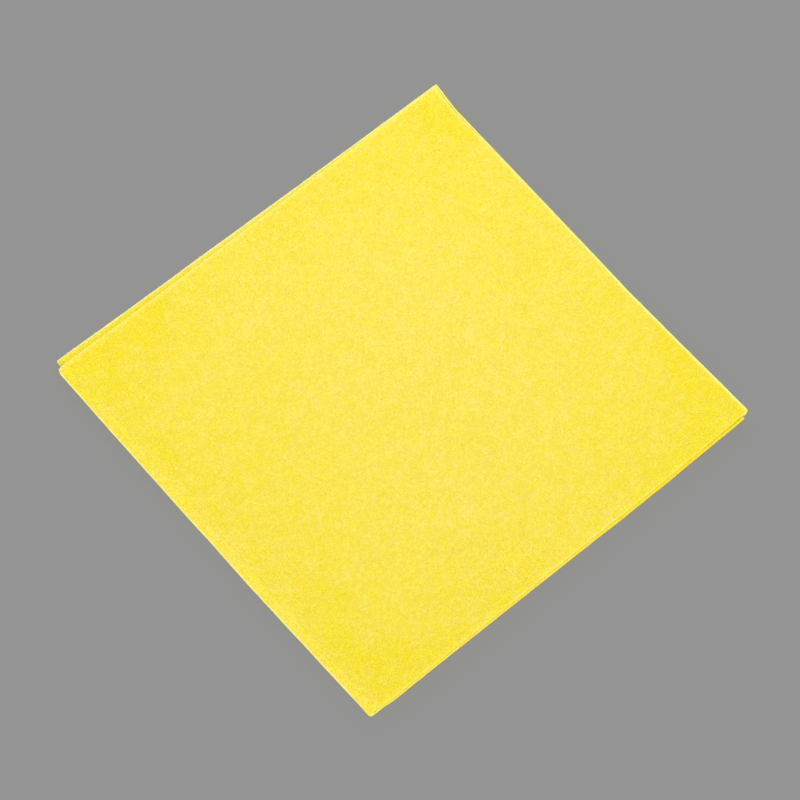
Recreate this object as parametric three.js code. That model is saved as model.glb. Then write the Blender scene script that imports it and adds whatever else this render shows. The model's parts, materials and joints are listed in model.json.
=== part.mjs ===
import * as THREE from 'three';
import { mergeVertices } from 'three/addons/utils/BufferGeometryUtils.js';

// A floor cleaning cloth: one sheet of thick yellow needled felt with plain cut edges,
// folded in half and then in half again, as it comes out of its pack. Millimetres, +Z up.
// The first fold runs along Y at the +X side. The second fold runs along X at the -Y side.
// The cut edges are at the -X and +Y sides. The sheet is made flat, as areas that meet at the
// fold lines, and every area is then carried round the two folds by the same function.

// The sheet
const sheetThickness = 2; // soft felt under its own weight
const layerGap = 0.3; // air between two layers that lie on each other
const seamGap = 0.3; // between two areas of the sheet, measured along it

// The folded cloth
const foldedWidth = 250; // X, from the first fold to the cut edges of the outer layers
const foldedLength = 257.8; // Y, from the second fold to the cut edges of the upper half
const lowerHalfShort = 3.9; // the lower half ends this much sooner than the upper half

// How the layers miss each other, because the cloth was folded by hand
const overhangAtFold = 5.8; // inner layers past the outer ones at the second fold, along X
const overhangAtCorner = 2.7; // and at the loose corner
const cornerSkew = 2.9; // inner layers past the outer ones at the loose corner, along Y
const cornerFlare = 1.7; // the loose corner stands past the line of its edge, along Y
const cornerFlareRun = 14; // over this length of the edge
const foldFlare = 2.65; // the edge swells by this where the first fold ends
const foldFlareRun = 47; // over this length of the edge
const cornerDrawIn = 1.3; // both ends of the first fold are drawn in by this
const drawInNearCorner = 22; // over this length where the two folds meet
const drawInNearEdge = 60; // and over this length at the cut edges
const lowerFoldProud = 0.7; // the lower half's first fold stands out at its cut edge
const innerFoldSlack = 0.7; // the inner layers stop short in the second fold
const slackRun = 60; // and lie where they should from this far on

// Cells of each area's grid
const cellsOfPanel = 14; // along each side of a quarter
const cellsRoundFold = 8; // round a fold

// What follows from these sizes
const half = 1 / 2;
const firstRadius = (sheetThickness + layerGap) * half; // middle of the cloth, round the first fold
const firstHalfArc = firstRadius * Math.PI * half;
const secondRadius = sheetThickness + layerGap; // middle of the doubled cloth, round the second fold
const secondHalfArc = secondRadius * Math.PI * half;
const firstReach = firstRadius + sheetThickness * half; // how far the first fold stands out
const secondReach = secondRadius + firstReach; // and the second one
const middleHeight = secondReach; // the second fold's axis stands this high
const widthRun = foldedWidth - firstReach; // flat part of the outer layers, along X
const lengthRun = foldedLength - secondReach; // flat part of the upper half, along Y
const gridStart = seamGap * half;

const { lerp, clamp, smoothstep } = THREE.MathUtils;

// The line of the cut edges at the +Y side, as a distance along Y from where it would be straight.
// u is the share of the way from the first fold to the loose corner.
function endLine(u, isInner) {
  const fromFold = u * widthRun;
  const fromCorner = widthRun - fromFold;
  const swell = foldFlare * clamp(1 - fromFold / foldFlareRun, 0, 1);
  const flare = cornerFlare * clamp(1 - fromCorner / cornerFlareRun, 0, 1);
  const middle = lerp(foldFlare, cornerFlare, u);
  const skew = isInner ? cornerSkew * Math.sqrt(u) : 0;
  return swell + flare + skew - middle;
}

// Where a share of an area lies across the first fold: negative on the outer layers, positive
// on the inner ones, zero at the fold's middle. v is the share of the way to the +Y edges.
function placeAcross(strip, x, v) {
  if (strip === 'fold') return (x - half) * (firstHalfArc - gridStart) / half;
  if (strip === 'outer') return -firstHalfArc - lerp(widthRun, gridStart, x);
  const run = widthRun + lerp(overhangAtFold, overhangAtCorner, v);
  return firstHalfArc + lerp(gridStart, run, x);
}

// Where a share of an area lies along the second fold's crossing: positive on the upper half,
// negative on the lower half, zero at the fold's middle.
function placeAlong(strip, y, u, isInner) {
  if (strip === 'fold') return (y - half) * (secondHalfArc - gridStart) / half;
  const run = lengthRun + endLine(u, isInner);
  if (strip === 'upper') return secondHalfArc + lerp(gridStart, run, y);
  return -secondHalfArc - lerp(run - lowerHalfShort, gridStart, y);
}

// Carries a point of the flat sheet round both folds. level is its height over the middle of
// the cloth, positive on the face that ends up outside.
function foldUp(across, along, level) {
  const firstTurn = clamp((across / firstHalfArc + 1) * half, 0, 1) * Math.PI;
  const overFirst = Math.max(Math.abs(across) - firstHalfArc, 0);
  const reach = firstRadius + level;
  let x = reach * Math.sin(firstTurn) - overFirst;
  const height = reach * Math.cos(firstTurn);

  const secondTurn = clamp((1 - along / secondHalfArc) * half, 0, 1) * Math.PI;
  const overSecond = Math.max(Math.abs(along) - secondHalfArc, 0);
  const arm = secondRadius + height;
  let y = overSecond - arm * Math.sin(secondTurn);
  const z = middleHeight + arm * Math.cos(secondTurn);

  // The ends of the first fold are drawn in, and the lower half lies a little askew.
  const fromEdge = lengthRun - overSecond;
  const fullness = smoothstep(overSecond, 0, drawInNearCorner) * smoothstep(fromEdge, 0, drawInNearEdge);
  const nearFold = clamp(1 - overFirst / widthRun, 0, 1);
  x += cornerDrawIn * (fullness - 1) * nearFold;
  if (along < 0) x += lowerFoldProud * overSecond / lengthRun;

  // Slack of the inner layers inside the second fold.
  if (across > 0) y += innerFoldSlack * (1 - nearFold) * (1 - smoothstep(overSecond, 0, slackRun));
  return [x, y, z];
}

const felt = { color: 0xfbe754, roughness: 0.95, metalness: 0 };

// One area of the sheet, from a box of unit size whose corners are shares of the area.
function clothArea(name, acrossStrip, alongStrip) {
  const cellsX = acrossStrip === 'fold' ? cellsRoundFold : cellsOfPanel;
  const cellsY = alongStrip === 'fold' ? cellsRoundFold : cellsOfPanel;
  const box = new THREE.BoxGeometry(1, 1, 1, cellsX, cellsY, 1);
  box.deleteAttribute('normal');
  box.deleteAttribute('uv');
  const geometry = mergeVertices(box);
  const position = geometry.attributes.position;
  for (let i = 0; i < position.count; i++) {
    const x = position.getX(i) + half;
    const y = position.getY(i) + half;
    const u = { outer: 1 - x, fold: 0, inner: x }[acrossStrip];
    const v = { upper: y, fold: 0, lower: 1 - y }[alongStrip];
    const across = placeAcross(acrossStrip, x, v);
    const along = placeAlong(alongStrip, y, u, acrossStrip === 'inner');
    position.setXYZ(i, ...foldUp(across, along, position.getZ(i) * sheetThickness));
  }
  geometry.computeVertexNormals();
  const mesh = new THREE.Mesh(geometry, new THREE.MeshStandardMaterial(felt));
  mesh.name = name;
  return mesh;
}

const cloth = new THREE.Group();
cloth.name = 'floor_cloth';
cloth.add(
  clothArea('top_outer_quarter', 'outer', 'upper'),
  clothArea('top_inner_quarter', 'inner', 'upper'),
  clothArea('bottom_inner_quarter', 'inner', 'lower'),
  clothArea('bottom_outer_quarter', 'outer', 'lower'),
  clothArea('first_fold_top', 'fold', 'upper'),
  clothArea('first_fold_bottom', 'fold', 'lower'),
  clothArea('second_fold_outer', 'outer', 'fold'),
  clothArea('second_fold_inner', 'inner', 'fold'),
  clothArea('fold_corner', 'fold', 'fold'),
);

// The origin is under the middle of the folded cloth's box, on the surface that it lies on.
const box = new THREE.Box3().setFromObject(cloth);
const middle = box.getCenter(new THREE.Vector3());
cloth.position.set(-middle.x, -middle.y, -box.min.z);

export default cloth;
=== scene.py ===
import json
import math

import bpy
import numpy as np
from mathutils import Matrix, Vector


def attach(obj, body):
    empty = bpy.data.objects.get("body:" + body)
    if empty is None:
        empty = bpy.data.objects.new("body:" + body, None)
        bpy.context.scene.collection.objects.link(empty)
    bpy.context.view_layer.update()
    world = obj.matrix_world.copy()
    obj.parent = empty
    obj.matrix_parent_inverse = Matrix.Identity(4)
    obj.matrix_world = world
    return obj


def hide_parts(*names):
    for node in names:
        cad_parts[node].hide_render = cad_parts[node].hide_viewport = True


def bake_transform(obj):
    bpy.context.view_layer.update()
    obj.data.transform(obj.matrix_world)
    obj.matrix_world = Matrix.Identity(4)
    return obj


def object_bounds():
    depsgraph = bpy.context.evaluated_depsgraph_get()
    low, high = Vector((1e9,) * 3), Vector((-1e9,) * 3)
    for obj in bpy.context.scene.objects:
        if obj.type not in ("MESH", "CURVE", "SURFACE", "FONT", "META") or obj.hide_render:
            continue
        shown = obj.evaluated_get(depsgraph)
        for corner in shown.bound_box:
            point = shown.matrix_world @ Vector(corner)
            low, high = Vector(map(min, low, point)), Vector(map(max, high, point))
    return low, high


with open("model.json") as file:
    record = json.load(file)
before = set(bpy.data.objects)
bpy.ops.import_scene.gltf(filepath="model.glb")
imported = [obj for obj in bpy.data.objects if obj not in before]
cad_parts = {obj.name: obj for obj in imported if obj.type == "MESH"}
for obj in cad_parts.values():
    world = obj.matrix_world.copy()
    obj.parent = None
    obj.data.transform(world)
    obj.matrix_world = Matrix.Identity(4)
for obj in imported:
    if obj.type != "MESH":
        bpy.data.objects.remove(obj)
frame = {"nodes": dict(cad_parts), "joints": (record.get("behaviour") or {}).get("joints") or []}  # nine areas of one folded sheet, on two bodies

# A floor cleaning cloth of yellow needled felt, folded into quarters. Metres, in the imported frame.
cadLow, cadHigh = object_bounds()
hinge = frame["joints"][0]
foldLineY, foldLineZ = hinge["pos_m"][1], hinge["pos_m"][2]


class Wire:  # an output in a node tree; sums and products of wires add their Math nodes
    def __init__(self, tree, socket=None):
        self.tree, self.socket = tree, socket

    def node(self, kind, settings=None, inputs=None, output=0):
        made = self.tree.nodes.new(kind)
        for name, value in (settings or {}).items():
            setattr(made, name, value)
        for name, value in (inputs or {}).items():
            if isinstance(value, Wire):
                self.tree.links.new(value.socket, made.inputs[name])
            else:
                made.inputs[name].default_value = value
        return Wire(self.tree, made.outputs[output] if len(made.outputs) else None)

    def maths(self, operation, first, second):
        return self.node("ShaderNodeMath", {"operation": operation}, {0: first, 1: second})

    def __add__(self, other):
        return self.maths("ADD", self, other)

    def __sub__(self, other):
        return self.maths("SUBTRACT", self, other)

    def __mul__(self, other):
        return self.maths("MULTIPLY", self, other)

    def __rsub__(self, other):
        return self.maths("SUBTRACT", other, self)

    __radd__, __rmul__ = __add__, __mul__


# The sheet and its two folds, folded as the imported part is. The lines of its edges are closer to the
# photograph: each is a list of offsets at shares of the way along, up to 2 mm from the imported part's.
sheet = {
    "thickness": 0.002,
    "layerGap": 0.0003,
    "width": 0.2507,
    "length": 0.2578,
    "lowerHalfShort": 0.0034,
    "lessShortAtFold": 0.001,  # the lower half's edge comes this much closer where the first fold ends
    "lessShortRun": 0.15,  # over this share of the edge
    "cornerSkew": 0.0029,
    "lineEase": 0.012,  # the lines' bends are eased over this share of the way
    "overhang": ((0, 0.0052), (0.2, 0.0046), (0.5, 0.0037), (0.8, 0.00255), (1, 0.0016)),
    "sideLine": ((0, -0.0001), (0.1, -0.00024), (0.18, -0.00042), (0.3, -0.0003), (0.4, -0.0002),
                 (0.5, -0.00012), (0.6, -0.00005), (0.8, 0.0005), (1, 0.00114)),
    "endLine": ((0, -0.0006), (0.014, -0.00095), (0.03, -0.00095), (0.12, -0.00112), (0.25, -0.00123),
                (0.35, -0.00135), (0.4, -0.001), (0.45, -0.00065), (0.5, -0.0003), (0.55, 0.0001),
                (0.65, 0.00063), (0.75, 0.001), (0.85, 0.00147), (0.92, 0.0016), (0.95, 0.00224),
                (0.98, 0.00327), (1, 0.00392)),
    "secondFoldLine": ((0, -0.00112), (0.025, -0.00105), (0.05, -0.0008), (0.1, -0.00072), (0.2, -0.00038),
                       (0.27, 0), (0.35, 0.00015), (0.5, 0.00012), (0.65, 0.00014), (0.8, 0), (0.9, -0.00025),
                       (1, -0.0006)),
    "firstFoldLine": ((0, 0), (0.05, 0), (0.1, -0.00012), (0.3, -0.00018), (0.4, -0.0001), (0.5, 0),
                      (0.72, 0.00004), (0.78, -0.0001), (0.82, -0.0003), (0.87, 0), (0.92, 0.00012),
                      (0.96, 0.0002), (1, -0.0001)),
    "foldLineReach": 0.04,
    "drawInAtCorner": 0.0009,
    "drawInAtEdge": 0.0013,
    "drawInNearCorner": 0.012,
    "drawInNearEdge": 0.06,
    "foldEndFlare": 0.0008,  # the ends of both folds stand out a little
    "outerEndFlare": 0.0003,
    "foldEndRun": 0.005,
    "firstEndSlant": 0.5,  # the first fold's end leans back towards the lower half
    "firstEndSlantRuns": (0.012, 0.03),  # over these runs, from its crest and from the cut edge
    "secondEndSlant": 0.11,  # the second fold's end draws in towards the ground
    "secondEndSlantRuns": (0.006, 0.0045),
    "pinch": 0.5,  # where both folds cross they are squarer than round folds
    "pinchOfSecond": 0.6,
    "pinchRun": 0.01,
    "pinchAtEnd": 0.5,  # and so are the folds' ends
    "pinchAtEndRun": 0.006,
    "lowerFoldProud": 0.0007,
    "innerFoldSlack": 0.0007,
    "slackRun": 0.06,
}
halfThick = sheet["thickness"] / 2
firstRadius = halfThick + sheet["layerGap"] / 2
secondRadius = sheet["thickness"] + sheet["layerGap"]
firstHalfArc = firstRadius * math.pi / 2
secondHalfArc = secondRadius * math.pi / 2
firstReach = firstRadius + halfThick
widthRun = sheet["width"] - firstReach
lengthRun = sheet["length"] - secondRadius - firstReach

# How the felt is cut and how it lies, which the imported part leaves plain
feltShape = {
    "cellsOuter": 150,  # along a quarter's side, on the layers that show when it is folded
    "cellsInner": 110,
    "cellsFirstFold": 10,
    "cellsSecondFold": 14,
    "innerFaceStep": 4,  # the face shut inside the first fold has a cell for so many
    "edgeRound": 0.00055,  # the cut edges are rounded over this
    "edgeFullness": 0.7,  # below 1 they are fuller than a half round
    "edgeFlatness": 0.8,
    "edgeRows": 5,
    "cornerTrim": 1.1,
    "rowsByEdge": (0.0062, 0.0046, 0.0033, 0.0023, 0.0015, 0.0009, 0.0004),
    "grainSize": 0.0042,
    "grainHeight": 0.00004,
    "lumpSize": 0.013,
    "lumpHeight": 0.00006,
    "reliefShutIn": 0.3,  # shares of that relief: on faces shut in, at the folds, and on the inner layers
    "reliefAtFolds": 0.25,
    "reliefOfInner": 0.6,
    "reliefFromFirst": 0.006,  # it grows to its full height over these runs from the folds
    "reliefFromSecond": 0.008,
    "innerReliefFrom": (0.001, 0.006),
    "waveSize": 0.075,
    "waveHeight": 0.0003,
    "wobbleSize": 0.022,
    "wobble": 0.0001,
    "frayWobble": 0.00006,
    "frayWobbleSize": 0.005,
    "seeds": {"grain": 11, "lump": 12, "wave": 13, "wobbleX": 14, "wobbleY": 15, "frayX": 16, "frayY": 17},
    "openAtCorner": 0.0007,  # the upper half lifts off the lower one at the right corner
    "openRun": 0.055,
    "cornerCurl": 0.0006,  # and the loose corner's top layer lifts a little
    "curlRun": 0.02,
    "groundClear": 0.00016,  # room under the lowest layer for its own fibres
    "groundRun": 0.004,
}


def smoothStep(x, low, high):
    t = np.clip((x - low) / (high - low), 0.0, 1.0)
    return t * t * (3.0 - 2.0 * t)


def fading(x, run):  # 1 at nothing, 0 from run on
    return 1 - smoothStep(x, 0, run)


def mixed(a, b, share):
    return a + (b - a) * share


def hills(x, y, size, seed):  # smooth random heights from -1 to 1, a few of them to each size
    count = 256
    lattice = np.random.default_rng(seed).uniform(-1.0, 1.0, (count, count))
    stepX, stepY = 0.37, 0.61  # so that no two seeds line up
    x, y = x / size + stepX * seed, y / size + stepY * seed
    column, row = np.floor(x).astype(int), np.floor(y).astype(int)
    fx, fy = smoothStep(x - column, 0, 1), smoothStep(y - row, 0, 1)
    left, right = column % count, (column + 1) % count
    near = mixed(lattice[left, row % count], lattice[right, row % count], fx)
    far = mixed(lattice[left, (row + 1) % count], lattice[right, (row + 1) % count], fx)
    return mixed(near, far, fy)


def onLine(name, share):  # the offset of an edge's line, with its bends eased
    places, offsets = zip(*sheet[name])
    steps = (-sheet["lineEase"], 0, sheet["lineEase"])
    return np.mean([np.interp(np.clip(share + step, 0, 1), places, offsets) for step in steps], axis=0)


def stationsOf(outerCells, foldCells, innerCells):
    # bend goes from -1 to 1 round the fold, and run from 0 at the fold to 1 at the cut edge, where
    # the rows are finer
    edgeRuns = 1 - np.array(feltShape["rowsByEdge"]) / widthRun
    runs = []
    for cells in (outerCells, innerCells):
        plain = np.linspace(0, edgeRuns[0], cells - len(edgeRuns), endpoint=False)
        runs.append(np.concatenate([plain, edgeRuns, [1.0]]))
    bend = np.concatenate([-np.ones(outerCells), np.linspace(-1, 1, foldCells + 1), np.ones(innerCells)])
    return bend, np.concatenate([runs[0][:0:-1], np.zeros(foldCells + 1), runs[1][1:]])


def flatPlaces(bendX, runX, bendY, runY, inset):  # where each station is on the flat sheet
    bendX, runX = bendX[:, None], runX[:, None]
    bendY, runY = bendY[None, :], runY[None, :]
    inner, upper = bendX > 0, bendY > 0
    overhang = np.where(inner, onLine("overhang", runY), 0.0) + onLine("sideLine", runY)
    across = bendX * firstHalfArc + np.sign(bendX) * runX * (widthRun + overhang - inset)
    short = sheet["lowerHalfShort"] - sheet["lessShortAtFold"] * fading(runX, sheet["lessShortRun"])
    short = np.where(upper, 0.0, short)
    skew = np.where(inner, 0.0, sheet["cornerSkew"] * runX ** 2)
    reach = lengthRun + onLine("endLine", runX) - skew - short - inset
    along = bendY * secondHalfArc + np.sign(bendY) * runY * reach
    return across, along


def rounded(turn, power):  # a sine or cosine, for a squarer bend below a power of 1
    return np.sign(turn) * np.abs(turn) ** power


def foldUp(across, along, level):  # carries the flat sheet round both folds
    firstTurn = np.clip((across / firstHalfArc + 1) / 2, 0, 1) * math.pi
    overFirst = np.maximum(np.abs(across) - firstHalfArc, 0)
    secondTurn = np.clip((1 - along / secondHalfArc) / 2, 0, 1) * math.pi
    overSecond = np.maximum(np.abs(along) - secondHalfArc, 0)
    reach = firstRadius + level
    fromEdge = lengthRun - overSecond
    power = mixed(sheet["pinch"], 1.0, smoothStep(overSecond, 0, sheet["pinchRun"]))
    power = power * mixed(sheet["pinchAtEnd"], 1.0, smoothStep(fromEdge, 0, sheet["pinchAtEndRun"]))
    arm = secondRadius + reach * rounded(np.cos(firstTurn), power)
    x = reach * rounded(np.sin(firstTurn), power) - overFirst
    fromSide = np.maximum(widthRun + np.where(across > 0, sheet["overhang"][0][1], 0) - overFirst, 0)
    power = mixed(sheet["pinchOfSecond"], 1.0, smoothStep(overFirst, 0, sheet["pinchRun"]))
    power = power * mixed(sheet["pinchAtEnd"], 1.0, smoothStep(fromSide, 0, sheet["pinchAtEndRun"]))
    y = overSecond - arm * rounded(np.sin(secondTurn), power)
    z = foldLineZ + arm * rounded(np.cos(secondTurn), power)
    nearFold = np.clip(1 - overFirst / widthRun, 0, 1)
    drawnIn = sheet["drawInAtCorner"] * fading(overSecond, sheet["drawInNearCorner"])
    drawnIn = drawnIn + sheet["drawInAtEdge"] * fading(fromEdge, sheet["drawInNearEdge"])
    flared = sheet["foldEndFlare"] * fading(fromEdge, sheet["foldEndRun"]) * (along > 0)
    x = x - drawnIn * nearFold + flared * fading(overFirst, sheet["foldEndRun"])
    belowTop = foldLineZ + secondRadius + firstReach - z
    fromCrest, fromCut = sheet["firstEndSlantRuns"]
    slanted = sheet["firstEndSlant"] * fading(overFirst, fromCrest) * fading(fromEdge, fromCut)
    y = y - slanted * (along > 0) * belowTop
    fromCrest, fromCut = sheet["secondEndSlantRuns"]
    y = y + sheet["secondEndSlant"] * fading(fromSide, fromCut) * fading(overSecond, fromCrest) * belowTop
    flared = np.where(across > 0, sheet["foldEndFlare"], sheet["outerEndFlare"])
    flared = flared * fading(fromSide, sheet["foldEndRun"])
    y = y - flared * fading(overSecond, sheet["foldEndRun"])
    x = x + np.where(along < 0, sheet["lowerFoldProud"] * overSecond / lengthRun, 0)
    slack = sheet["innerFoldSlack"] * (1 - nearFold) * fading(overSecond, sheet["slackRun"])
    y = y + np.where(across > 0, slack, 0)
    x = x + onLine("firstFoldLine", overSecond / lengthRun) * fading(overFirst, sheet["foldLineReach"])
    y = y - onLine("secondFoldLine", 1 - nearFold) * fading(overSecond, sheet["foldLineReach"])
    return x, y, z


def laidOut(across, along, level, outside):  # the folded place with the felt's own unevenness
    overFirst = np.maximum(np.abs(across) - firstHalfArc, 0)
    overSecond = np.maximum(np.abs(along) - secondHalfArc, 0)
    upper, outer = along > 0, across < 0
    seeds = feltShape["seeds"]
    offFolds = smoothStep(overSecond, 0, feltShape["reliefFromSecond"])
    offFolds = offFolds * smoothStep(overFirst, 0, feltShape["reliefFromFirst"])
    relief = feltShape["grainHeight"] * hills(across, along, feltShape["grainSize"], seeds["grain"])
    relief = relief + feltShape["lumpHeight"] * hills(across, along, feltShape["lumpSize"], seeds["lump"])
    relief = relief * np.where(outside, 1.0, feltShape["reliefShutIn"])
    relief = relief * mixed(feltShape["reliefAtFolds"], 1.0, offFolds)
    relief = np.where(outer, relief, relief * feltShape["reliefOfInner"])
    ground = outer & ~upper & outside
    lifted = feltShape["groundClear"] * smoothStep(overSecond, 0, feltShape["groundRun"])
    relief = np.where(ground, np.minimum(relief, 0) - lifted, relief)
    relief = relief * np.where(outer, 1.0, smoothStep(overSecond, *feltShape["innerReliefFrom"]))
    x, y, z = foldUp(across, along, level + relief)

    wave = 0.5 + 0.5 * hills(across, along, feltShape["waveSize"], seeds["wave"])
    z = z + np.where(upper & outer, feltShape["waveHeight"] * wave * offFolds, 0)
    fromEnd = np.maximum(lengthRun - overSecond, 0)
    nearRight = fading(overFirst, feltShape["openRun"]) * fading(fromEnd, feltShape["openRun"])
    z = z + np.where(upper, feltShape["openAtCorner"] * nearRight, 0)
    fromCorner = np.hypot(np.maximum(widthRun - overFirst, 0), fromEnd)
    curl = feltShape["cornerCurl"] * fading(fromCorner, feltShape["curlRun"]) ** 2
    z = z + np.where(upper & outer, curl, 0)

    for size, height, seedX, seedY in (("wobbleSize", "wobble", "wobbleX", "wobbleY"),
                                       ("frayWobbleSize", "frayWobble", "frayX", "frayY")):
        x = x + feltShape[height] * hills(across, along, feltShape[size], seeds[seedX])
        y = y + feltShape[height] * hills(across, along, feltShape[size], seeds[seedY])
    return np.stack([x + shiftX, y + foldLineY, z], axis=-1)


bendX, runX = stationsOf(feltShape["cellsOuter"], feltShape["cellsFirstFold"], feltShape["cellsInner"])
bendY, runY = stationsOf(feltShape["cellsInner"], feltShape["cellsSecondFold"], feltShape["cellsOuter"])
countX, countY = len(bendX), len(bendY)
plainAcross, plainAlong = flatPlaces(bendX, runX, bendY, runY, 0.0)
plainX = foldUp(plainAcross, plainAlong, halfThick)[0]
shiftX = cadHigh.x - plainX.max()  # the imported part's origin is under the middle of its box
diagonalA = (plainAcross[1:, 1:] - plainAcross[:-1, :-1], plainAlong[1:, 1:] - plainAlong[:-1, :-1])
diagonalB = (plainAcross[:-1, 1:] - plainAcross[1:, :-1], plainAlong[:-1, 1:] - plainAlong[1:, :-1])
flatArea = float(abs(diagonalA[0] * diagonalB[1] - diagonalA[1] * diagonalB[0]).sum() / 2)


def outsideGrid():  # the face that ends up outside, as a grid of corners and cells
    across, along = flatPlaces(bendX, runX, bendY, runY, feltShape["edgeRound"])
    places = laidOut(across, along, halfThick, True).reshape(-1, 3)
    numbers = np.arange(countX * countY).reshape(countX, countY)
    cells = np.stack([numbers[:-1, :-1], numbers[1:, :-1], numbers[1:, 1:], numbers[:-1, 1:]], axis=-1)
    return across, along, places, numbers, cells


def ringOf(numbers):  # the grid's rim, once round, with the way out of the sheet at each corner of it
    lastX, lastY = countX - 1, countY - 1
    columns = [*range(countX), *[lastX] * lastY, *range(lastX - 1, -1, -1), *[0] * (lastY - 1)]
    rows = [*[0] * countX, *range(1, countY), *[lastY] * lastX, *range(lastY - 1, 0, -1)]
    columns, rows = np.array(columns), np.array(rows)
    out = np.stack([(columns == lastX) * 1.0 - (columns == 0), (rows == lastY) * 1.0 - (rows == 0)], axis=-1)
    out = out / np.where(np.abs(out).sum(1, keepdims=True) > 1, feltShape["cornerTrim"], 1.0)
    return columns, rows, out


def coarseStations(outerCells, foldCells, count):  # all by the cut edges and round the folds, few between
    step, fine = feltShape["innerFaceStep"], len(feltShape["rowsByEdge"]) + 2
    foldEnd = outerCells + foldCells
    return sorted({*range(fine), *range(fine, outerCells, step), *range(outerCells, foldEnd + 1),
                   *range(foldEnd, count - fine, step), *range(count - fine, count)})


# The cloth's own map: the outside face fills it, and the cut edge and the shut-in face have strips
# beside it
mapLayout = {"margin": 0.001, "face": 0.955, "strips": 0.965, "strip": 0.005, "shutIn": 0.03}


def makeCloth():
    across, along, places, numbers, cells = outsideGrid()
    columns, rows, out = ringOf(numbers)
    ringAcross, ringAlong = across[columns, rows], along[columns, rows]
    ringCount = len(columns)
    allPlaces = [places]
    flat = [np.stack([across, along, np.full_like(across, halfThick)], axis=-1).reshape(-1, 3)]
    rings = [numbers[columns, rows]]
    total = len(places)
    rowTurns = np.linspace(0, math.pi, feltShape["edgeRows"] + 2)[1:]
    for turn in rowTurns:  # rounds the cut edge, down to the other face
        outward = 0.0
        if turn != rowTurns[-1]:
            outward = feltShape["edgeRound"] * math.sin(turn) ** feltShape["edgeFullness"]
        level = halfThick * math.copysign(abs(math.cos(turn)) ** feltShape["edgeFlatness"], math.cos(turn))
        ringFlat = np.stack([ringAcross + out[:, 0] * outward, ringAlong + out[:, 1] * outward,
                             np.full(ringCount, level)], axis=-1)
        side = turn < math.pi / 2
        allPlaces.append(laidOut(ringFlat[:, 0], ringFlat[:, 1], level, side))
        flat.append(ringFlat)
        rings.append(np.arange(total, total + ringCount))
        total += ringCount

    stationsX = coarseStations(feltShape["cellsOuter"], feltShape["cellsFirstFold"], countX)
    stationsY = coarseStations(feltShape["cellsInner"], feltShape["cellsSecondFold"], countY)
    inside = np.full((countX, countY), -1)
    inside[columns, rows] = rings[-1]
    innerX, innerY = np.meshgrid(stationsX[1:-1], stationsY[1:-1], indexing="ij")
    inside[innerX, innerY] = np.arange(total, total + innerX.size).reshape(innerX.shape)
    innerAcross, innerAlong = across[innerX, innerY].ravel(), along[innerX, innerY].ravel()
    allPlaces.append(laidOut(innerAcross, innerAlong, -halfThick, False))
    flat.append(np.stack([innerAcross, innerAlong, np.full(innerX.size, -halfThick)], axis=-1))

    faces = cells.reshape(-1, 4).tolist()
    places, flat = np.concatenate(allPlaces), np.concatenate(flat)

    margin = mapLayout["margin"]
    onMap = np.stack([(flat[:, axis] - drawn.min() + margin) / (np.ptp(drawn) + 2 * margin)
                      for axis, drawn in enumerate((across, along))], axis=-1)
    corners = [onMap[cells.reshape(-1, 4)].reshape(-1, 2) * mapLayout["face"]]
    ringShare = np.arange(ringCount + 1) / ringCount
    for row, (upperRing, lowerRing) in enumerate(zip(rings[:-1], rings[1:])):
        nextUpper, nextLower = np.roll(upperRing, -1), np.roll(lowerRing, -1)
        faces += np.stack([upperRing, lowerRing, nextLower, nextUpper], axis=-1).tolist()
        low = mapLayout["strips"] + row * mapLayout["strip"]
        high = low + mapLayout["strip"]
        here, there = ringShare[:-1] * mapLayout["face"], ringShare[1:] * mapLayout["face"]
        quad = [np.stack([side, np.full(ringCount, level)], -1)
                for side, level in ((here, high), (here, low), (there, low), (there, high))]
        corners.append(np.stack(quad, axis=1).reshape(-1, 2))
    shutCorners = []
    for left, right in zip(stationsX[:-1], stationsX[1:]):
        for near, far in zip(stationsY[:-1], stationsY[1:]):
            loop = [inside[left, near]]
            if left == 0:
                loop += inside[0, near + 1:far].tolist()
            loop.append(inside[left, far])
            if far == countY - 1:
                loop += inside[left + 1:right, far].tolist()
            loop.append(inside[right, far])
            if right == countX - 1:
                loop += inside[right, far - 1:near:-1].tolist()
            loop.append(inside[right, near])
            if near == 0:
                loop += inside[right - 1:left:-1, 0].tolist()
            faces.append([int(v) for v in loop])
            shutCorners += loop
    shutStrip = np.array([mapLayout["shutIn"], mapLayout["face"]])
    corners.append(onMap[np.array(shutCorners)] * shutStrip + [mapLayout["strips"], 0.0])
    return places, flat, faces, np.concatenate(corners), cells, np.stack([innerX.ravel(), innerY.ravel()], -1)


def meshObject(name, places, faces):
    mesh = bpy.data.meshes.new(name)
    mesh.from_pydata(places.tolist(), [], faces)
    mesh.polygons.foreach_set("use_smooth", np.ones(len(faces), bool))
    made = bpy.data.objects.new(name, mesh)
    bpy.context.scene.collection.objects.link(made)
    return made


def signedVolume(mesh):
    mesh.calc_loop_triangles()
    corners = np.empty(len(mesh.loop_triangles) * 3, np.int32)
    mesh.loop_triangles.foreach_get("vertices", corners)
    places = np.empty(len(mesh.vertices) * 3, np.float32)
    mesh.vertices.foreach_get("co", places)
    a, b, c = places.reshape(-1, 3).astype(float)[corners.reshape(-1, 3)].transpose(1, 0, 2)
    return float((a * np.cross(b, c)).sum() / 6)


places, flat, faces, mapCorners, cells, shutPlaces = makeCloth()
floorCloth = meshObject("floor_cloth", places, faces)
clothMap = floorCloth.data.uv_layers.new(name="OFBake")
clothMap.uv.foreach_set("vector", mapCorners.astype(np.float32).ravel())
sheetPlace = floorCloth.data.attributes.new("sheetPlace", "FLOAT_VECTOR", "POINT")
sheetPlace.data.foreach_set("vector", flat.astype(np.float32).ravel())


def paintShare(name, values):  # a value at each corner of the cloth, for its material
    attribute = floorCloth.data.attributes.new(name, "FLOAT", "POINT")
    attribute.data.foreach_set("value", values.astype(np.float32))


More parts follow.
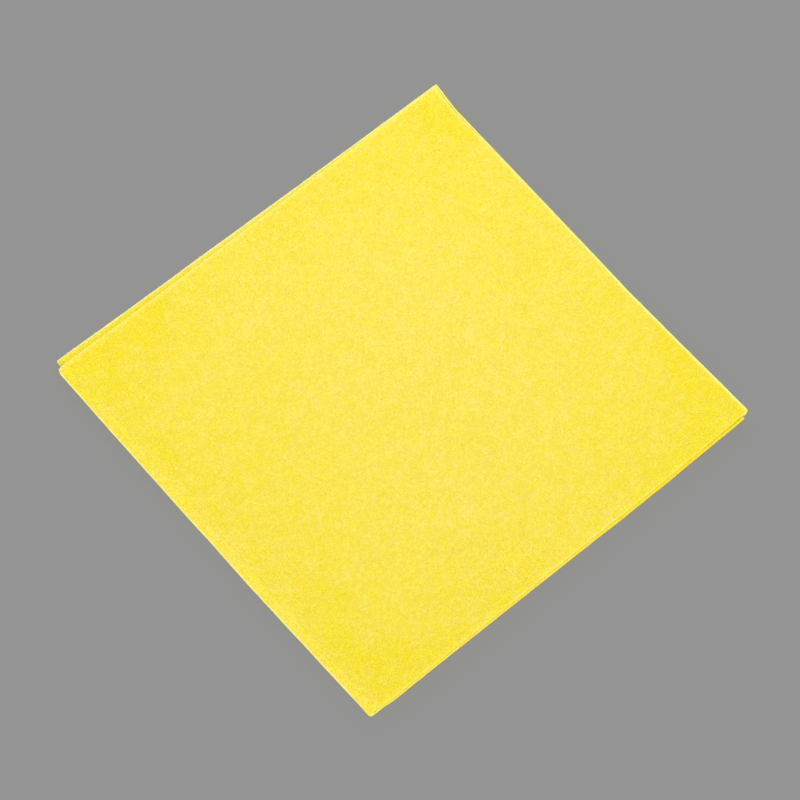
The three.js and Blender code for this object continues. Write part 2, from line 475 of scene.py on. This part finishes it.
overFirst = np.maximum(np.abs(flat[:, 0]) - firstHalfArc, 0)
overSecond = np.maximum(np.abs(flat[:, 1]) - secondHalfArc, 0)
shareAcross, shareAlong = overFirst / widthRun, overSecond / lengthRun
roundFirst, roundSecond = flat[:, 0] / firstHalfArc, flat[:, 1] / secondHalfArc
outside = flat[:, 2] > 0
nearBothFades = (0.2, 0.4)
nearBoth = 1 - smoothStep(shareAlong, *nearBothFades)  # towards where both folds cross

# Felt is paler where it was cut and where it is stretched round a fold, and the same colour is a painted
# highlight where light catches the cut edges and the fold crests
paleAndHighlitFelt = {  # each is a share of the paler colour, and from where to where it fades
    "nearCut": 0.22, "nearCutFades": (0.0001, 0.0026),
    "atCut": 0.12, "atCutFades": (0, 0.0007),
    "atFoldEnd": 0.45, "atFoldEndFades": (0.0003, 0.0013), "awayFromFold": (0.3, 0.8),
    "secondCrest": 0.75, "secondCrestAt": -0.04, "secondCrestFades": (0.05, 0.35), "secondCrestRun": 0.015,
    "firstCrest": 0.25, "firstCrestAt": -0.15, "firstCrestFades": (0.05, 0.5),
    "lowerCrest": 0.35, "lowerCrestFades": (0.1, 0.45),
}
edgeAcross, edgeAlong = flatPlaces(bendX, runX, bendY, runY, 0.0)
toEdgeX = np.minimum(edgeAcross - edgeAcross.min(0, keepdims=True),
                     edgeAcross.max(0, keepdims=True) - edgeAcross)
toEdgeY = np.minimum(edgeAlong - edgeAlong.min(1, keepdims=True),
                     edgeAlong.max(1, keepdims=True) - edgeAlong)
toEdge = np.minimum(toEdgeX, toEdgeY)
nearCut = paleAndHighlitFelt["nearCut"] * (1 - smoothStep(toEdge, *paleAndHighlitFelt["nearCutFades"]))
nearCut += paleAndHighlitFelt["atCut"] * (1 - smoothStep(toEdge, *paleAndHighlitFelt["atCutFades"]))
atFoldEnd = (1 - smoothStep(runX, *paleAndHighlitFelt["awayFromFold"]))[:, None]
nearCut += paleAndHighlitFelt["atFoldEnd"] * (1 - smoothStep(toEdgeY, *paleAndHighlitFelt["atFoldEndFades"])) * atFoldEnd
rimCount = len(flat) - nearCut.size - len(shutPlaces)
nearCut = np.concatenate([nearCut.ravel(), np.ones(rimCount), nearCut[shutPlaces[:, 0], shutPlaces[:, 1]]])
secondCrest = 1 - smoothStep(np.abs(roundSecond - paleAndHighlitFelt["secondCrestAt"]), *paleAndHighlitFelt["secondCrestFades"])
secondCrest = paleAndHighlitFelt["secondCrest"] * secondCrest * smoothStep(-flat[:, 0], 0, paleAndHighlitFelt["secondCrestRun"])
firstCrest = 1 - smoothStep(np.abs(roundFirst - paleAndHighlitFelt["firstCrestAt"]), *paleAndHighlitFelt["firstCrestFades"])
lowerCrest = (1 - smoothStep(np.abs(roundFirst), *paleAndHighlitFelt["lowerCrestFades"])) * nearBoth * (flat[:, 1] < 0)
crestPaleAndHighlight = np.maximum(secondCrest, paleAndHighlitFelt["firstCrest"] * firstCrest)
crestPaleAndHighlight = np.maximum(crestPaleAndHighlight, paleAndHighlitFelt["lowerCrest"] * lowerCrest) * outside
paintShare("worn", np.maximum(nearCut, crestPaleAndHighlight))

# Painted shade: a deeper colour where little light gets in, between the two halves at the first fold,
# and under the top quarter's edge
paintedShadeFelt = {
    "creviceFrom": 0.05,  # round the fold, from its middle to its upper end
    "creviceTo": 0.55,
    "laterNearBoth": 0.22,
    "narrowerNearBoth": 0.12,
    "creviceReach": 0.004,
    "creviceLine": ((0, 0.85), (0.03, 0.9), (0.045, 1.25), (0.07, 0.8), (0.095, 0.9), (0.112, 1.6),
                    (0.135, 0.85), (0.17, 0.75), (0.215, 1.25), (0.26, 0.7), (0.3, 0.6), (0.5, 0.52),
                    (0.75, 0.6), (0.9, 0.85), (1, 0.95)),
    "underEdge": 0.7,
    "underEdgeFades": (0.0002, 0.0016),
}
shadeBetweenHalves = smoothStep(roundFirst - paintedShadeFelt["laterNearBoth"] * nearBoth, paintedShadeFelt["creviceFrom"],
                           paintedShadeFelt["creviceTo"] - paintedShadeFelt["narrowerNearBoth"] * nearBoth)
shadeBetweenHalves = shadeBetweenHalves * outside * (overFirst < paintedShadeFelt["creviceReach"])
shadeBetweenHalves = shadeBetweenHalves * np.interp(shareAlong, *zip(*paintedShadeFelt["creviceLine"]))
topWidth = widthRun + onLine("sideLine", shareAlong)
topLength = lengthRun + onLine("endLine", shareAcross) - sheet["cornerSkew"] * shareAcross ** 2
pastTop = np.maximum(overFirst - topWidth, overSecond - topLength)
facingTop = (flat[:, 2] < -halfThick / 2) & (flat[:, 0] > 0)
underEdge = (1 - smoothStep(pastTop, *paintedShadeFelt["underEdgeFades"])) * facingTop
# the share of painted shade, stored for the material as shutIn
paintShare("shutIn", np.clip(np.maximum(shadeBetweenHalves, paintedShadeFelt["underEdge"] * underEdge), 0, 1))

# A slow drift of colour over the felt, palest in the middle of each quarter and deeper away from it
drifting = {
    "palest": 0.74,
    "palestAt": (0.5, 0.55),
    "handled": 0.8,
    "handledFrom": (0.15, 0.72),
    "patches": ((0.13, 0.055, 5), (0.13, 0.02, 32)),  # each its share, size and seed
    "streak": {"start": (-0.239, 0.1546), "end": (-0.128, 0.1756), "width": 0.007, "share": 0.22},
    "alongSecond": 0.15,  # and paler along the second fold
    "alongSecondFades": (0.002, 0.006),
    "nearFoldEnds": 0.17,  # and deepest towards the folds' ends
    "nearFoldEndsFrom": (0.6, 1),
}
middle = np.hypot(shareAcross - drifting["palestAt"][0], shareAlong - drifting["palestAt"][1])
drift = drifting["palest"] - drifting["handled"] * smoothStep(middle, *drifting["handledFrom"])
for share, size, seed in drifting["patches"]:
    drift = drift + share * hills(flat[:, 0], flat[:, 1], size, seed)
streakStart, streakEnd = np.array(drifting["streak"]["start"]), np.array(drifting["streak"]["end"])
streakWay = streakEnd - streakStart
onStreak = np.clip((flat[:, :2] - streakStart) @ streakWay / (streakWay @ streakWay), 0, 1)
offStreak = np.linalg.norm(flat[:, :2] - streakStart - onStreak[:, None] * streakWay, axis=1)
drift = drift + drifting["streak"]["share"] * fading(offStreak, drifting["streak"]["width"])
alongSecond = (1 - smoothStep(overSecond, *drifting["alongSecondFades"])) * (flat[:, 0] < 0)
drift = drift + drifting["alongSecond"] * alongSecond
nearFoldEnds = smoothStep(np.abs(shareAcross - shareAlong), *drifting["nearFoldEndsFrom"])
paintShare("drift", np.clip(drift, 0, 1) - drifting["nearFoldEnds"] * nearFoldEnds)

insideOut = signedVolume(floorCloth.data) < 0
if insideOut:
    floorCloth.data.flip_normals()
millilitres = round(signedVolume(floorCloth.data) * 1e6, 1)
print("cloth", len(floorCloth.data.loop_triangles), "triangles, volume", millilitres, "ml")

feltLook = {
    "plain": (1.0, 0.823, 0.028, 1),
    "deep": (0.895, 0.84, 0.72, 1),  # times the colour under it
    "pale": (1.0, 0.838, 0.2, 1),
    # pale cut felt, and the painted highlight on the cut edges and fold crests
    "cut": (1.0, 1.0, 0.32, 1),
    # painted shade: a deeper colour between the halves and under the top quarter's edge, darker still deep in
    # the crevice
    "shutIn": (1.0, 0.79, 0.002, 1),
    "crevice": (0.86, 0.64, 0.001, 1),
    "speck": (1.0, 0.93, 0.42, 1),
    "cloudScale": 130.0,  # each per metre
    "cloudDetail": 3.0,
    "midScale": 560.0,
    "fineScale": 1800.0,
    "speckScale": 90.0,
    "speckShare": 0.06,  # of the specks' cells that hold one
    "speckSize": 0.09,  # of a cell
    "fibreSize": (0.0055, 0.0005, 0.01),  # length, width and depth
    "fibreAngles": (0.2, 1.05, 1.9, 2.75),
    "fibreFrom": (0.58, 0.74),
    "fibreBend": 0.0016,
    "fibreBendScale": 260.0,
    "grainShares": (0.2, 0.8),  # of the middling and the fine noise
    "driftPale": 0.31,  # how much each adds to the pale colour's share
    "fibrePale": 0.26,
    "middlingPale": 0.24,
    "middlingFrom": (0.45, 0.62),
    "cloudPale": 0.18,
    "cloudFrom": (0.42, 0.66),
    "handledPale": 0.13,  # taken from it where the drift is low
    "handledFrom": (0.12, 0.0),
    "palerAll": 0.03,
    "grainDeep": 0.86,  # how much the deep colour takes of that under it
    "grainFrom": (0.56, 0.36),
    "driftDeep": 0.08,
    "driftDeepFrom": (0.3, 0.0),
    "driftClearFrom": (-0.02, -0.15),
    "wearGrain": (0.5, 0.75),  # the cut colour's share of the grain, and without it
    "creviceFrom": (0.78, 1.0),
    "bumpShares": (0.9, 0.2, 0.04, 0.06),  # of the fine and middling noise, the fibres and the clouds
    "bumpDepth": 0.0008,
    "specular": 0.15,
    "roughness": 0.95,
    "sheen": 0.25,
    "sheenRoughness": 0.3,
    "sheenTint": (1.0, 0.95, 0.6, 1),
    "looseDeep": (0.98, 0.82, 0.07, 1),  # the loose fibres are between these two
    "loosePale": (1.0, 0.92, 0.35, 1),
}


def mixColours(start, share, first, second, blend="MIX"):
    settings = {"data_type": "RGBA", "blend_type": blend}
    return start.node("ShaderNodeMix", settings, {0: share, 6: first, 7: second}, output=2)


def between(start, value, low, high):  # 0 below low, 1 above high
    return start.node("ShaderNodeMapRange", {"interpolation_type": "SMOOTHSTEP"},
                      {"Value": value, "From Min": low, "From Max": high})


def newMaterial(name):
    material = bpy.data.materials.new(name)
    material.use_nodes = True
    material.node_tree.nodes.clear()
    return material, Wire(material.node_tree)


def finishFelt(start, colour, normal):
    inputs = {"Base Color": colour, "Roughness": feltLook["roughness"], "Sheen Weight": feltLook["sheen"],
              "Sheen Roughness": feltLook["sheenRoughness"], "Sheen Tint": feltLook["sheenTint"],
              "Specular IOR Level": feltLook["specular"]}
    if normal:
        inputs["Normal"] = normal
    shader = start.node("ShaderNodeBsdfPrincipled", {}, inputs)
    start.node("ShaderNodeOutputMaterial", {}, {"Surface": shader})


def held(value):  # kept between 0 and 1
    return value.maths("MINIMUM", value.maths("MAXIMUM", value, 0.0), 1.0)


def painted(start, name):
    return start.node("ShaderNodeAttribute", {"attribute_name": name}, output="Fac")


def yellowFelt():
    material, start = newMaterial("yellow_needled_felt")
    look = feltLook
    place = start.node("ShaderNodeAttribute", {"attribute_name": "sheetPlace"}, output="Vector")
    drift, paleAndHighlitShare, paintedShade = painted(start, "drift"), painted(start, "worn"), painted(start, "shutIn")

    def noise(vector, scale, detail=1.0, output="Fac"):
        inputs = {"Vector": vector, "Scale": scale, "Detail": detail}
        return start.node("ShaderNodeTexNoise", {}, inputs, output)

    def rangeOf(value, name):
        return between(start, value, *look[name])

    cloud = noise(place, look["cloudScale"], look["cloudDetail"])
    middling = noise(place, look["midScale"])
    fine = noise(place, look["fineScale"])
    sway = noise(place, look["fibreBendScale"], output="Color")
    sway = start.node("ShaderNodeVectorMath", {"operation": "MULTIPLY_ADD"},
                      {0: sway, 1: (look["fibreBend"] * 2,) * 3, 2: place})
    lines = None
    for angle in look["fibreAngles"]:  # thin fibres lying in several directions
        turned = start.node("ShaderNodeMapping", {"vector_type": "TEXTURE"},
                            {"Vector": sway, "Rotation": (0.0, 0.0, angle), "Location": (angle, -angle, 0.0),
                             "Scale": look["fibreSize"]})
        line = rangeOf(noise(turned, 1.0), "fibreFrom")
        lines = line if lines is None else lines.maths("MAXIMUM", lines, line)

    middlingGrain, fineGrain = look["grainShares"]
    grain = middling * middlingGrain + fine * fineGrain
    paleShare = drift * look["driftPale"] + lines * look["fibrePale"]
    paleShare = paleShare + rangeOf(middling, "middlingFrom") * look["middlingPale"]
    paleShare = paleShare + rangeOf(cloud, "cloudFrom") * look["cloudPale"]
    paleShare = paleShare - rangeOf(drift, "handledFrom") * look["handledPale"] + look["palerAll"]
    colour = mixColours(start, held(paleShare), look["plain"], look["pale"])
    deepShare = rangeOf(grain, "grainFrom") + rangeOf(drift, "driftDeepFrom") * look["driftDeep"]
    deepShare = deepShare - rangeOf(drift, "driftClearFrom") * look["driftDeep"]
    colour = mixColours(start, held(deepShare) * look["grainDeep"], colour, look["deep"], "MULTIPLY")
    byGrain, always = look["wearGrain"]
    # paler cut and stretched felt, with a painted highlight on the cut edges and fold crests
    colour = mixColours(start, paleAndHighlitShare * (grain * byGrain + always), colour, look["cut"])
    # painted shade between the halves and under the top quarter's edge, darker deep in the crevice
    colour = mixColours(start, paintedShade, colour, look["shutIn"])
    colour = mixColours(start, rangeOf(paintedShade, "creviceFrom"), colour, look["crevice"])
    cell = start.node("ShaderNodeTexVoronoi", {}, {"Vector": sway, "Scale": look["speckScale"]})
    cellColour = Wire(material.node_tree, cell.socket.node.outputs["Color"])
    chance = start.node("ShaderNodeSeparateColor", {}, {0: cellColour})
    speck = chance.maths("LESS_THAN", chance, look["speckShare"])
    speck = speck * between(start, cell, look["speckSize"], 0.0)
    colour = mixColours(start, speck, colour, look["speck"])
    fineBump, middlingBump, lineBump, cloudBump = look["bumpShares"]
    height = fine * fineBump + middling * middlingBump + lines * lineBump + cloud * cloudBump
    bump = start.node("ShaderNodeBump", {},
                      {"Strength": 1.0, "Distance": look["bumpDepth"], "Height": height})
    finishFelt(start, colour, bump)
    return material


def looseFibres():
    material, start = newMaterial("loose_fibres")
    shade = painted(start, "shade")
    finishFelt(start, mixColours(start, shade * shade, feltLook["looseDeep"], feltLook["loosePale"]), None)
    return material


floorCloth.data.materials.append(yellowFelt())
fibreMaterial = looseFibres()
print("materials")

# Fibres that stand off the felt, laid over its faces and along its cut edges
fuzz = {
    "lying": {"length": 0.0055, "thickness": 0.00007, "lift": 0.00017, "sway": 0.0034, "segments": 4},
    "standing": {"length": 0.0007, "thickness": 0.00008, "lift": 0.0, "sway": 0.0006, "segments": 2},
    "topCount": 4000,
    "innerCount": 1700,
    "groundCount": 2300,
    "restingCount": 3200,
    "edgeCount": 1500,
    "innerLift": 0.00008,
    "rises": (0.15, 1.0),  # random shares of the lift
    "lengths": (0.45, 1.3),  # and of the length
    "tilt": 0.8,  # of the standing fibres, in radians either way
    "rootDepth": 0.15,
    "bendScale": 170.0,
    "sides": 3,
    "seed": 30,
    "seedStep": 7,
}


def fibreTree(name, lying):
    tree = bpy.data.node_groups.new(name, "GeometryNodeTree")
    tree.interface.new_socket("Geometry", in_out="OUTPUT", socket_type="NodeSocketGeometry")
    wanted = {"Geometry": "Geometry", "Density": "Float", "Length": "Float", "Thickness": "Float",
              "Lift": "Float", "Sway": "Float", "Segments": "Int", "Seed": "Int", "Material": "Material"}
    for label, kind in wanted.items():
        tree.interface.new_socket(label, in_out="INPUT", socket_type="NodeSocket" + kind)
    start = Wire(tree)
    given = tree.nodes.new("NodeGroupInput")
    value = {label: Wire(tree, given.outputs[label]) for label in wanted}

    scattered = start.node("GeometryNodeDistributePointsOnFaces", {"distribute_method": "RANDOM"},
                           {"Mesh": value["Geometry"], "Density": value["Density"], "Seed": value["Seed"]})
    facing = Wire(tree, scattered.socket.node.outputs["Rotation"])

    def random(low, high, step):
        settings = {"data_type": "FLOAT"}
        return start.node("FunctionNodeRandomValue", settings,
                          {2: low, 3: high, "Seed": value["Seed"] + step}, output=1)

    shaded = start.node("GeometryNodeStoreNamedAttribute", {"data_type": "FLOAT", "domain": "POINT"},
                        {"Geometry": scattered, "Name": "shade", "Value": random(0.0, 1.0, 1)})
    shaded = start.node("GeometryNodeStoreNamedAttribute", {"data_type": "FLOAT", "domain": "POINT"},
                        {"Geometry": shaded, "Name": "rise", "Value": random(*fuzz["rises"], 4)})
    root = (-0.5, 0.0, 0.0) if lying else (0.0, 0.0, -fuzz["rootDepth"])
    tip = (0.5, 0.0, 0.0) if lying else (0.0, 0.0, 1.0)
    line = start.node("GeometryNodeCurvePrimitiveLine", {}, {"Start": root, "End": tip})
    line = start.node("GeometryNodeResampleCurve", {}, {"Curve": line, "Count": value["Segments"] + 1})
    tilt = 0.0 if lying else fuzz["tilt"]
    spin = start.node("FunctionNodeRandomValue", {"data_type": "FLOAT_VECTOR"},
                      {0: (-tilt, -tilt, -math.pi), 1: (tilt, tilt, math.pi), "Seed": value["Seed"] + 2})
    spin = start.node("FunctionNodeEulerToRotation", {}, {"Euler": spin})
    turned = start.node("FunctionNodeRotateRotation", {"rotation_space": "LOCAL"},
                        {"Rotation": facing, "Rotate By": spin})
    long = value["Length"] * random(*fuzz["lengths"], 3)
    size = start.node("ShaderNodeCombineXYZ", {}, {"X": long, "Y": long, "Z": long})
    strands = start.node("GeometryNodeInstanceOnPoints", {},
                         {"Points": shaded, "Instance": line, "Rotation": turned, "Scale": size})
    strands = start.node("GeometryNodeRealizeInstances", {}, {"Geometry": strands})

    where = start.node("GeometryNodeInputPosition")
    hairs = start.node("ShaderNodeTexNoise", {}, {"Vector": where, "Scale": fuzz["bendScale"], "Detail": 1.0},
                       output="Color")
    pushed = start.node("ShaderNodeVectorMath", {"operation": "SUBTRACT"}, {0: hairs, 1: (0.5, 0.5, 0.5)})
    pushed = start.node("ShaderNodeVectorMath", {"operation": "SCALE"}, {0: pushed, "Scale": value["Sway"]})
    strands = start.node("GeometryNodeSetPosition", {}, {"Geometry": strands, "Offset": pushed})
    if lying:  # each fibre then follows the face under it, highest at its middle
        normal = start.node("GeometryNodeInputNormal")
        faceNormal = start.node("GeometryNodeSampleNearestSurface", {"data_type": "FLOAT_VECTOR"},
                                {"Mesh": value["Geometry"], "Value": normal})
        nearest = start.node("GeometryNodeProximity", {"target_element": "FACES"}, {0: value["Geometry"]})
        share = start.node("GeometryNodeSplineParameter")
        rise = start.node("GeometryNodeInputNamedAttribute", {"data_type": "FLOAT"}, {"Name": "rise"})
        high = share * (1 - share) * 4 * value["Lift"] * rise
        offset = start.node("ShaderNodeVectorMath", {"operation": "SCALE"}, {0: faceNormal, "Scale": high})
        target = start.node("ShaderNodeVectorMath", {"operation": "ADD"}, {0: nearest, 1: offset})
        strands = start.node("GeometryNodeSetPosition", {}, {"Geometry": strands, "Position": target})
    split = start.node("ShaderNodeSeparateXYZ", {}, {0: start.node("GeometryNodeInputPosition")})
    parts = [Wire(tree, split.socket.node.outputs[axis]) for axis in "XYZ"]
    overGround = parts[2].maths("MAXIMUM", parts[2], value["Thickness"])
    above = start.node("ShaderNodeCombineXYZ", {}, {"X": parts[0], "Y": parts[1], "Z": overGround})
    strands = start.node("GeometryNodeSetPosition", {}, {"Geometry": strands, "Position": above})
    ring = start.node("GeometryNodeCurvePrimitiveCircle", {},
                      {"Resolution": fuzz["sides"], "Radius": value["Thickness"] * 0.5})
    tubes = start.node("GeometryNodeCurveToMesh", {},
                       {"Curve": strands, "Profile Curve": ring, "Fill Caps": True})
    tubes = start.node("GeometryNodeRealizeInstances", {}, {"Geometry": tubes})
    tubes = start.node("GeometryNodeSetMaterial", {}, {"Geometry": tubes, "Material": value["Material"]})
    start.node("NodeGroupOutput", {}, {"Geometry": tubes})
    return tree


def grownOn(host, tree, sizes, count, lift, seed):  # the fibres on one host mesh, as a plain mesh
    area = sum(face.area for face in host.data.polygons)
    modifier = host.modifiers.new("fibres", "NODES")
    modifier.node_group = tree
    inputs = {"Density": count / area, "Length": sizes["length"], "Thickness": sizes["thickness"],
              "Lift": lift, "Sway": sizes["sway"], "Segments": sizes["segments"], "Seed": seed,
              "Material": fibreMaterial}
    for item in tree.interface.items_tree:
        if item.in_out == "INPUT" and item.name in inputs:
            modifier[item.identifier] = inputs[item.name]
    bpy.context.view_layer.update()
    grown = bpy.data.meshes.new_from_object(host.evaluated_get(bpy.context.evaluated_depsgraph_get()))
    host.modifiers.remove(modifier)
    return grown


def hostOf(name, chosen):  # a helper mesh of some of the outside face's cells
    used, index = np.unique(chosen, return_inverse=True)
    host = meshObject(name, places[used], index.reshape(-1, 4).tolist())
    if insideOut:
        host.data.flip_normals()
    print(name, "faces", np.round(host.data.polygons[len(index) // 8].normal, 2))
    return host


lyingTree, standingTree = fibreTree("lyingFibres", True), fibreTree("standingFibres", False)
tipRow = feltShape["cellsInner"] + feltShape["cellsSecondFold"] // 2  # the second fold's tip on the grid
middleColumn = feltShape["cellsOuter"] + feltShape["cellsFirstFold"] // 2  # and the first fold's
outerUpper = cells[:middleColumn, tipRow + 1:]
innerUpper = cells[middleColumn:, tipRow + feltShape["cellsSecondFold"]:]
outerLower = cells[:middleColumn, :tipRow - 1]
innerLower = cells[middleColumn:, :tipRow - feltShape["cellsSecondFold"]]


def rimCells(upper):  # the cut edge's own faces, from the whole list of faces
    firstRim = cells.shape[0] * cells.shape[1]
    rimFaces = np.array(faces[firstRim:firstRim + (2 * (countX + countY) - 4) * (feltShape["edgeRows"] + 1)])
    along = flat[rimFaces][:, :, 1]
    high = (along > secondHalfArc).all(1) if upper else (along < -secondHalfArc).all(1)
    return rimFaces[high]


def makeFuzz(name, parts):
    grown = []
    for number, (label, chosen, tree, sizes, count, lift) in enumerate(parts):
        host = hostOf(name + label, chosen.reshape(-1, 4))
        grown.append(grownOn(host, tree, sizes, count, lift, fuzz["seed"] + fuzz["seedStep"] * number))
        bpy.data.objects.remove(host)
    pieces = []
    for mesh in grown:
        piece = bpy.data.objects.new(name, mesh)
        bpy.context.scene.collection.objects.link(piece)
        pieces.append(piece)
    with bpy.context.temp_override(active_object=pieces[0], selected_objects=pieces,
                                   selected_editable_objects=pieces):
        bpy.ops.object.join()
    made = pieces[0]
    made.name = name
    made.data.polygons.foreach_set("use_smooth", np.zeros(len(made.data.polygons), bool))
    print(name, sum(len(face.vertices) - 2 for face in made.data.polygons), "triangles")
    return made


upperFuzz = makeFuzz("upper_fuzz", [
    ("Top", outerUpper, lyingTree, fuzz["lying"], fuzz["topCount"], fuzz["lying"]["lift"]),
    ("Inner", innerUpper, lyingTree, fuzz["lying"], fuzz["innerCount"], fuzz["innerLift"]),
    ("Edge", rimCells(True), standingTree, fuzz["standing"], fuzz["edgeCount"], 0.0)])
lowerFuzz = makeFuzz("lower_fuzz", [
    ("Resting", innerLower, lyingTree, fuzz["lying"], fuzz["restingCount"], fuzz["innerLift"]),
    ("Ground", outerLower, lyingTree, fuzz["lying"], fuzz["groundCount"], fuzz["innerLift"]),
    ("Edge", rimCells(False), standingTree, fuzz["standing"], fuzz["edgeCount"], 0.0)])

# Which body each piece goes with
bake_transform(floorCloth)
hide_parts(*frame["nodes"])
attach(upperFuzz, "upper_half")
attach(lowerFuzz, "lower_half")

# The photograph's camera
shot = {"azimuth": 49.59, "elevation": 64.95, "distance": 1.90858, "lookAt": (0.00259, -0.00372, 0.0),
        "lens": 165.31, "filmWidth": 36.0, "near": 0.05, "far": 50.0}


def wayTo(azimuth, elevation):  # azimuth from -Y towards +X
    turn, rise = math.radians(azimuth), math.radians(elevation)
    return Vector((math.sin(turn) * math.cos(rise), -math.cos(turn) * math.cos(rise), math.sin(rise)))


def placeCamera():
    back = wayTo(shot["azimuth"], shot["elevation"])
    lens = bpy.data.cameras.new("camera")
    lens.lens, lens.sensor_width = shot["lens"], shot["filmWidth"]
    lens.clip_start, lens.clip_end = shot["near"], shot["far"]
    camera = bpy.data.objects.new("camera", lens)
    camera.location = Vector(shot["lookAt"]) + back * shot["distance"]
    camera.rotation_euler = (-back).to_track_quat("-Z", "Y").to_euler()
    bpy.context.scene.collection.objects.link(camera)
    bpy.context.scene.camera = camera


studio = {
    "ground": (0.292, 0.292, 0.292, 1),  # the grey that the camera sees
    "groundBounce": (0.88, 0.88, 0.88, 1),  # and the paler grey that lights the cloth from below
    "skyLevel": 0.826,
    "flatShare": 0.85,  # of the ground that is drawn at an even grey, as in the photograph
    "groundHalf": 4.0,
    "lamps": [  # azimuth, elevation, level, softness
        ("leftLamp", -45.0, 15.0, 0.7, 40.0),
        ("frontLamp", 65.0, 6.0, 1.05, 40.0),
        ("rightLamp", 150.0, 34.0, 0.3, 40.0),
    ],
    "softBox": {"azimuth": 229.6, "elevation": 42.0, "distance": 1.15, "size": 0.7, "level": 0.82},
}


def seenAsBackground(start):  # 1 on the rays that show the background: straight, mirrored or through glass
    rays = start.node("ShaderNodeLightPath")
    straight, mirrored, through = [Wire(start.tree, rays.socket.node.outputs[name])
                                   for name in ("Is Camera Ray", "Is Glossy Ray", "Is Transmission Ray")]
    seen = straight.maths("MAXIMUM", straight, mirrored)
    return seen.maths("MAXIMUM", seen, through)


def placeLamp(lamp, azimuth, elevation, distance=0.0):
    placed = bpy.data.objects.new(lamp.name, lamp)
    towards = wayTo(azimuth, elevation)
    placed.location = towards * distance
    placed.rotation_euler = towards.to_track_quat("Z", "Y").to_euler()
    bpy.context.scene.collection.objects.link(placed)


def lightStudio():
    for name, azimuth, elevation, level, softness in studio["lamps"]:
        lamp = bpy.data.lights.new(name, "SUN")
        lamp.energy, lamp.angle = level, math.radians(softness)
        placeLamp(lamp, azimuth, elevation)
    box = studio["softBox"]  # close enough to fall off over the cloth
    lamp = bpy.data.lights.new("softBox", "AREA")
    lamp.shape, lamp.size, lamp.energy = "SQUARE", box["size"], box["level"] * math.pi * box["distance"] ** 2
    placeLamp(lamp, box["azimuth"], box["elevation"], box["distance"])
    world = bpy.data.worlds.new("studio")
    bpy.context.scene.world = world
    world.use_nodes = True
    world.node_tree.nodes.clear()
    start = Wire(world.node_tree)
    sky = start.node("ShaderNodeBackground", {}, {"Color": (1, 1, 1, 1), "Strength": studio["skyLevel"]})
    plain = start.node("ShaderNodeBackground", {}, {"Color": studio["ground"], "Strength": 1.0})
    shown = start.node("ShaderNodeMixShader", {}, {0: seenAsBackground(start), 1: sky, 2: plain})
    start.node("ShaderNodeOutputWorld", {}, {"Surface": shown})


def makeGround():
    half = studio["groundHalf"]
    corners = np.array([(-half, -half, 0), (half, -half, 0), (half, half, 0), (-half, half, 0)])
    ground = meshObject("ground", corners, [[0, 1, 2, 3]])
    material, start = newMaterial("plain_grey_ground")
    seen = seenAsBackground(start)
    colour = mixColours(start, seen, studio["groundBounce"], studio["ground"])
    matte = start.node("ShaderNodeBsdfDiffuse", {}, {"Color": colour})
    even = start.node("ShaderNodeEmission", {}, {"Color": studio["ground"], "Strength": 1.0})
    shown = start.node("ShaderNodeMixShader", {}, {0: seen * studio["flatShare"], 1: matte, 2: even})
    start.node("ShaderNodeOutputMaterial", {}, {"Surface": shown})
    ground.data.materials.append(material)


placeCamera()
lightStudio()
makeGround()
bpy.context.scene.view_settings.view_transform = "Standard"
print("studio")
